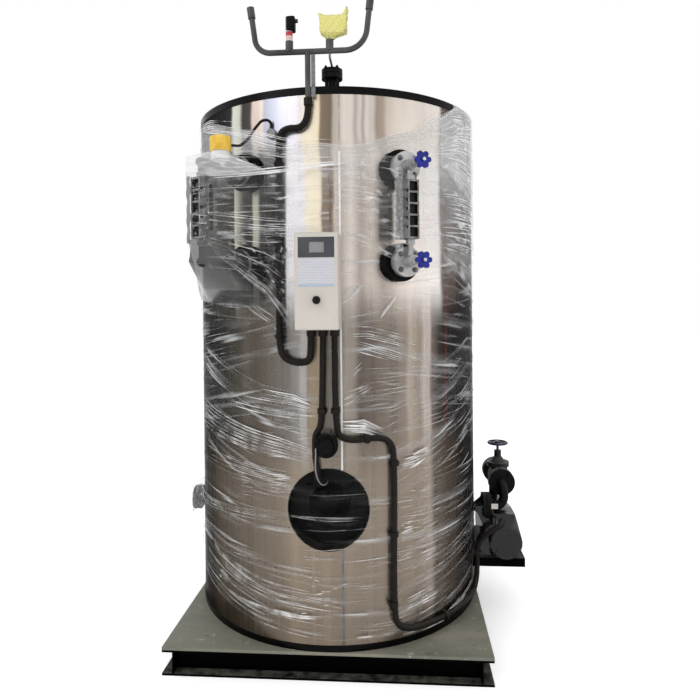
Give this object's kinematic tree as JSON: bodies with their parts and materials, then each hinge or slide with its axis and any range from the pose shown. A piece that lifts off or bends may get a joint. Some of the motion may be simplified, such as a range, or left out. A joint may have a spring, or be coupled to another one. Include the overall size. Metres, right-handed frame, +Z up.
{
  "type": "industrial boiler",
  "caption": "Vertical cylindrical steam boiler in bright cladding on a channel skid, with burner port, water gauges, control box, feed valve and feed pump.",
  "frame": {"origin": "on the floor under the shell's axis, on the underside of the skid's middle beam", "axes": "+Z up along the shell, -Y the front with burner port and control box, +X the feed pump side"},
  "size_m": [1.596, 1.5318, 2.6375],
  "materials": {
    "frame_paint": "matte dark paint",
    "plate_paint": "matte grey-green paint",
    "black_trim": "satin black",
    "vessel_steel": "matte primer",
    "bright_cladding": "bright rolled sheet",
    "cover_sheet": "satin black",
    "flue_steel": "plain sheet",
    "black_steel": "satin black",
    "black_rubber": "matte",
    "flange_steel": "machined",
    "cock_steel": "plain",
    "sensor_body": "smooth",
    "yellow_plastic": "smooth",
    "blue_paint": "gloss",
    "dark_blue_paint": "gloss",
    "grey_plastic": "matte",
    "box_paint": "fine texture",
    "rail_steel": "plain",
    "dark_glass": "gloss",
    "black_plastic": "matte",
    "grey_pipe": "satin",
    "transmitter_body": "turned",
    "bag_plastic": "thin film",
    "stretch_film": "thin clear film",
    "cast_valve": "rough",
    "motor_paint": "satin",
    "gauge_glass": "clear"
  },
  "bodies": {
    "boiler": {"skid_frame": "frame_paint", "base_plate": "plate_paint", "shell_base_ring": "black_trim", "pressure_vessel": "vessel_steel", "cladding_shell": "bright_cladding", "top_rim_band": "black_trim", "top_cover": "cover_sheet", "flue_collar": "flue_steel", "steam_outlet": "black_steel", "safety_valve_nozzle": "black_steel", "burner_collar": "black_steel", "burner_plate": "black_steel", "inspection_nozzle": "black_steel", "inspection_cap": "black_steel", "stub_collars": "black_rubber", "stub_flanges": "flange_steel", "right_gauge_cocks": "cock_steel", "left_gauge_arms": "cock_steel", "level_sensor": "sensor_body", "level_sensor_cap": "yellow_plastic", "junction_cap": "grey_plastic", "control_box": "box_paint", "panel_rails": "rail_steel", "panel_face": "box_paint", "display_window": "dark_glass", "instrument_header": "grey_pipe", "header_support": "rail_steel", "pressure_transmitter": "transmitter_body", "pressure_controller": "bag_plastic", "impulse_pipe": "rail_steel", "top_nozzle": "black_steel", "top_nozzle_blank": "black_steel", "feed_nozzle": "black_steel", "feed_pipe": "black_steel", "feed_valve_body": "cast_valve", "feed_valve_bonnet": "cast_valve", "feed_riser": "black_steel", "feed_pump": "cast_valve", "feed_motor": "motor_paint", "pump_shelf": "frame_paint", "side_nozzle": "black_steel", "side_blank": "black_steel", "film_left": "stretch_film", "film_right": "stretch_film", "cap_lead": "grey_plastic", "sensor_conduit": "black_plastic", "header_conduit": "black_plastic", "burner_conduit": "black_plastic", "pump_conduit": "black_plastic", "conduit_clips": "black_plastic", "conduit_fittings": "black_plastic", "gauge_bodies": "cock_steel", "gauge_covers": "flange_steel", "gauge_glasses": "gauge_glass"},
    "upper_cock_wheel": {"upper_cock_wheel": "blue_paint"},
    "lower_cock_wheel": {"lower_cock_wheel": "blue_paint"},
    "feed_valve_wheel": {"feed_valve_wheel": "dark_blue_paint"},
    "selector_knob": {"selector_knob": "black_plastic"}
  },
  "joints": [
    {"name": "upper_cock_turn", "type": "hinge", "parent": "boiler", "child": "upper_cock_wheel", "pos_m": [0.38866, -0.77277, 1.99], "axis": [0.4493, -0.8934, 0], "range_deg": [0, 720]},
    {"name": "lower_cock_turn", "type": "hinge", "parent": "boiler", "child": "lower_cock_wheel", "pos_m": [0.38866, -0.77277, 1.625], "axis": [0.4493, -0.8934, 0], "range_deg": [0, 720]},
    {"name": "feed_valve_turn", "type": "hinge", "parent": "boiler", "child": "feed_valve_wheel", "pos_m": [0.78, 0.058, 0.764], "axis": [0, 0, 1], "range_deg": [0, 1440]},
    {"name": "selector_turn", "type": "hinge", "parent": "boiler", "child": "selector_knob", "pos_m": [-0.003, -0.779, 1.482], "axis": [0, -1, 0], "range_deg": [-45, 45]}
  ]
}
